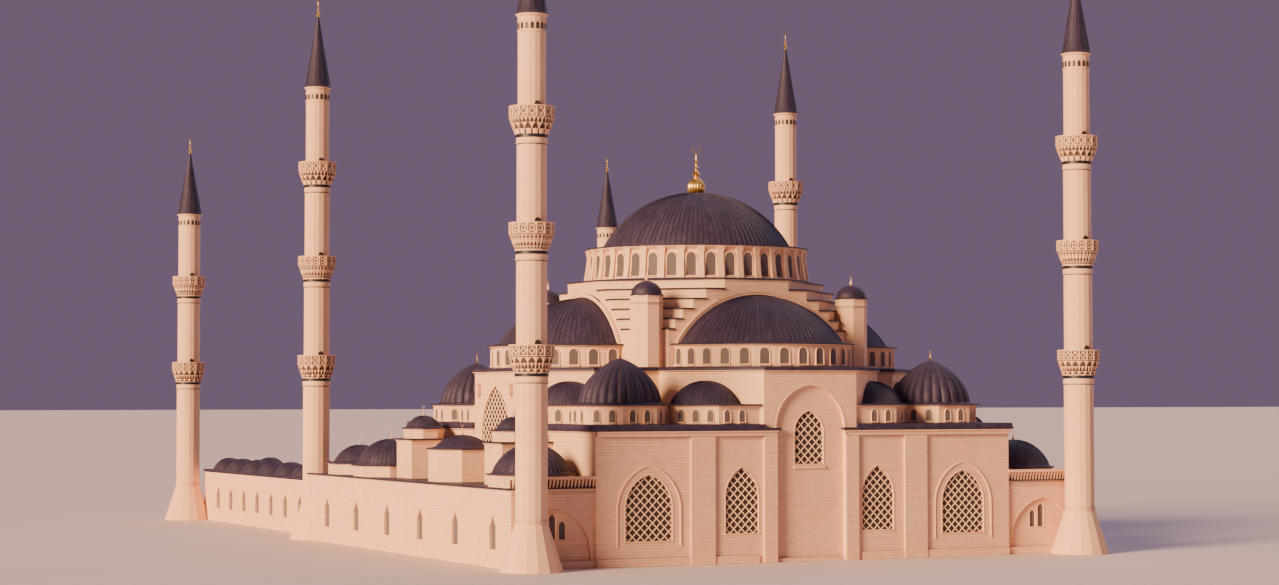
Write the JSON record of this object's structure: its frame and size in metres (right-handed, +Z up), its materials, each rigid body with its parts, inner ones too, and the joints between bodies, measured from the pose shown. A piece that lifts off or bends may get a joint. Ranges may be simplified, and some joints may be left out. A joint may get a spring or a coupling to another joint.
{
  "type": "domed mosque with minarets and a courtyard, 1:10 scale model",
  "caption": "Large domed mosque as a 1:10 model: central dome on a windowed drum and stepped base, half domes on all sides, corner domes, slender minarets with balconies, walled courtyard.",
  "frame": {"origin": "ground level, in the middle of the plan between the six minarets", "axes": "+Z up, +Y from the front wall to the courtyard, +X to the right as seen from the front"},
  "size_m": [11.636, 20.63, 10.71],
  "materials": {
    "stone": "fine sawn limestone courses",
    "lead": "weathered lead sheet with rolls",
    "gilt": "polished gilding",
    "paving": "honed paving"
  },
  "bodies": {
    "root": {"minaret_front_left": "stone", "spire_front_left": "lead", "minaret_front_right": "stone", "spire_front_right": "lead", "minaret_middle_left": "stone", "spire_middle_left": "lead", "minaret_middle_right": "stone", "spire_middle_right": "lead", "minaret_back_left": "stone", "spire_back_left": "lead", "minaret_back_right": "stone", "spire_back_right": "lead", "main_dome": "lead", "main_drum": "stone", "main_finial": "gilt", "stepped_base": "stone", "upper_roof": "lead", "semi_dome_front": "lead", "semi_drum_front": "stone", "semi_dome_right": "lead", "semi_drum_right": "stone", "semi_dome_back": "lead", "semi_drum_back": "stone", "semi_dome_left": "lead", "semi_drum_left": "stone", "turret_front_left": "stone", "upper_wall_front_left": "stone", "corner_tier_front_left": "stone", "corner_dome_front_left": "lead", "turret_front_right": "stone", "upper_wall_front_right": "stone", "corner_tier_front_right": "stone", "corner_dome_front_right": "lead", "turret_back_left": "stone", "upper_wall_back_left": "stone", "corner_tier_back_left": "stone", "corner_dome_back_left": "lead", "turret_back_right": "stone", "upper_wall_back_right": "stone", "corner_tier_back_right": "stone", "corner_dome_back_right": "lead", "front_wall_left": "stone", "front_wall_middle": "stone", "front_wall_right": "stone", "back_wall": "stone", "right_wall": "stone", "left_wall": "stone", "hall_floor": "paving", "right_gallery": "stone", "left_gallery": "stone", "entrance_gallery": "stone", "court_wall": "stone", "court_arcade_left": "stone", "court_roof_left": "lead", "court_arcade_back": "stone", "court_roof_back": "lead", "court_arcade_right": "stone", "court_roof_right": "lead"}
  },
  "joints": []
}
